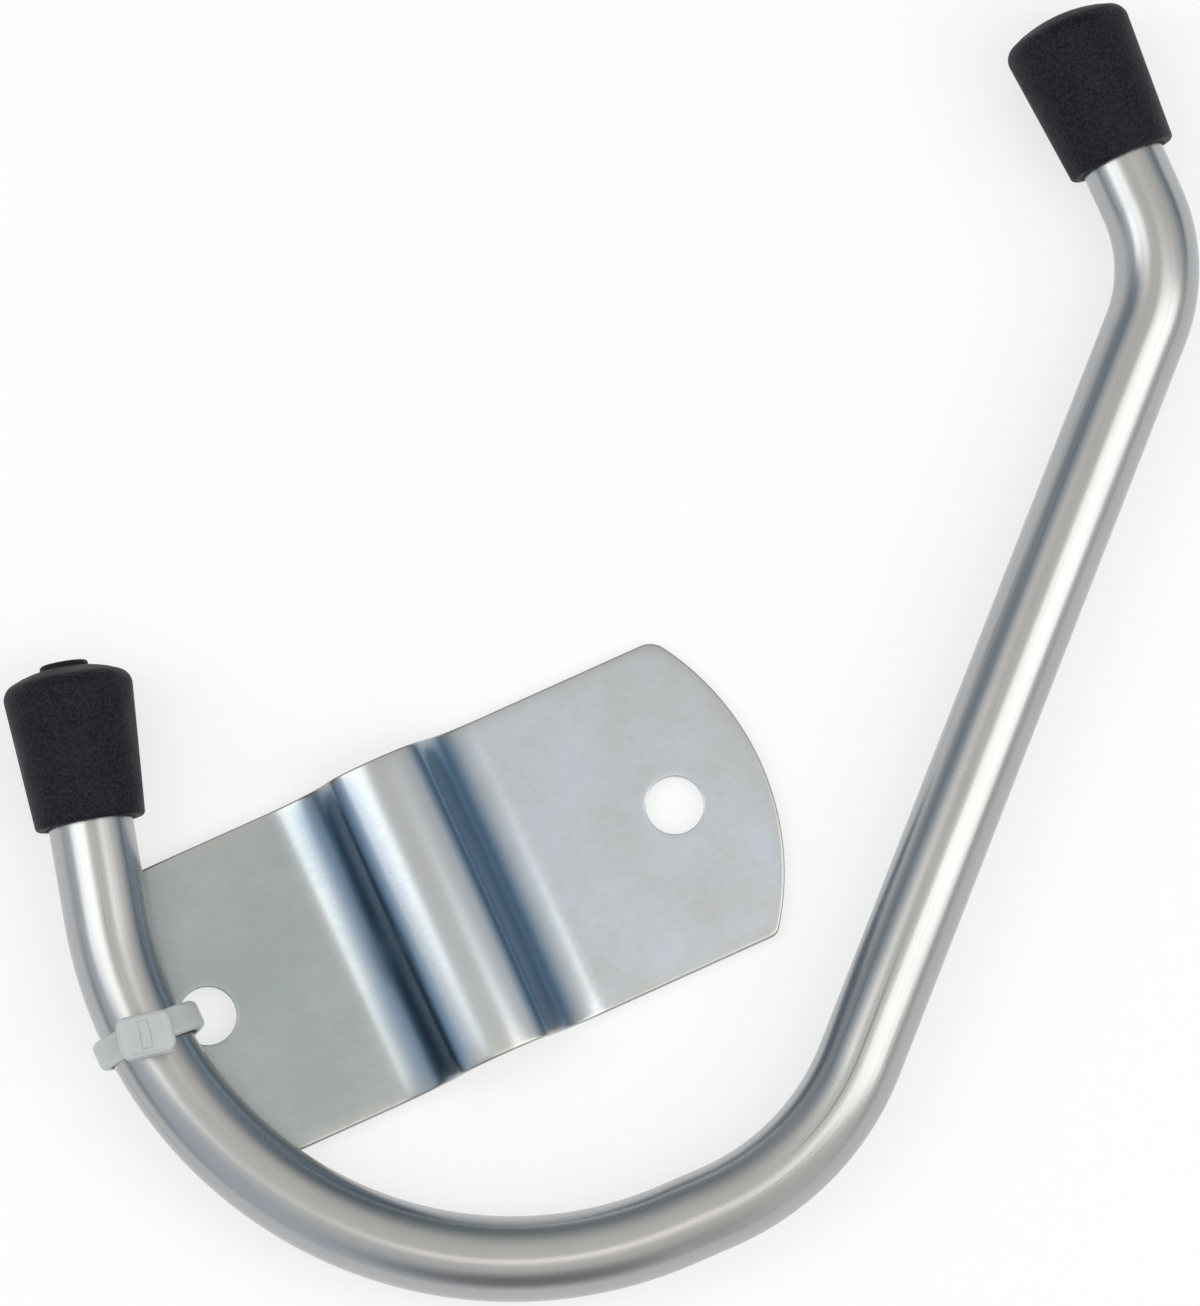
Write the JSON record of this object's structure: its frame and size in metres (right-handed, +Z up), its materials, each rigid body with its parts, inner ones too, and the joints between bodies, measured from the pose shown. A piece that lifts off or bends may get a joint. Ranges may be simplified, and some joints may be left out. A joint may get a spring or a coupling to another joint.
{
  "type": "wire hook",
  "caption": "Bent round-wire hook with pushed-on end caps and a pressed saddle clip, cable-tied to its bend, that screws over the wire to hold it on a wall.",
  "frame": {"origin": "middle of the part's footprint, on the floor it lies on", "axes": "+Z up from the floor, square to the level plane of the wire's bends; +Y from the cradle bend towards the long end; +X towards the shank"},
  "size_m": [0.1124, 0.1224, 0.0139],
  "materials": {
    "wire": "bright zinc plating on drawn wire",
    "clip": "zinc plating on pressed sheet, duller than the wire",
    "caps": "black moulded plastic with a fine grain",
    "tie": "natural nylon, milky and a little see-through"
  },
  "bodies": {
    "root": {"wire_hook": "wire", "short_end_cap": "caps", "long_end_cap": "caps", "saddle_clip": "clip", "cable_tie": "tie"}
  },
  "joints": []
}
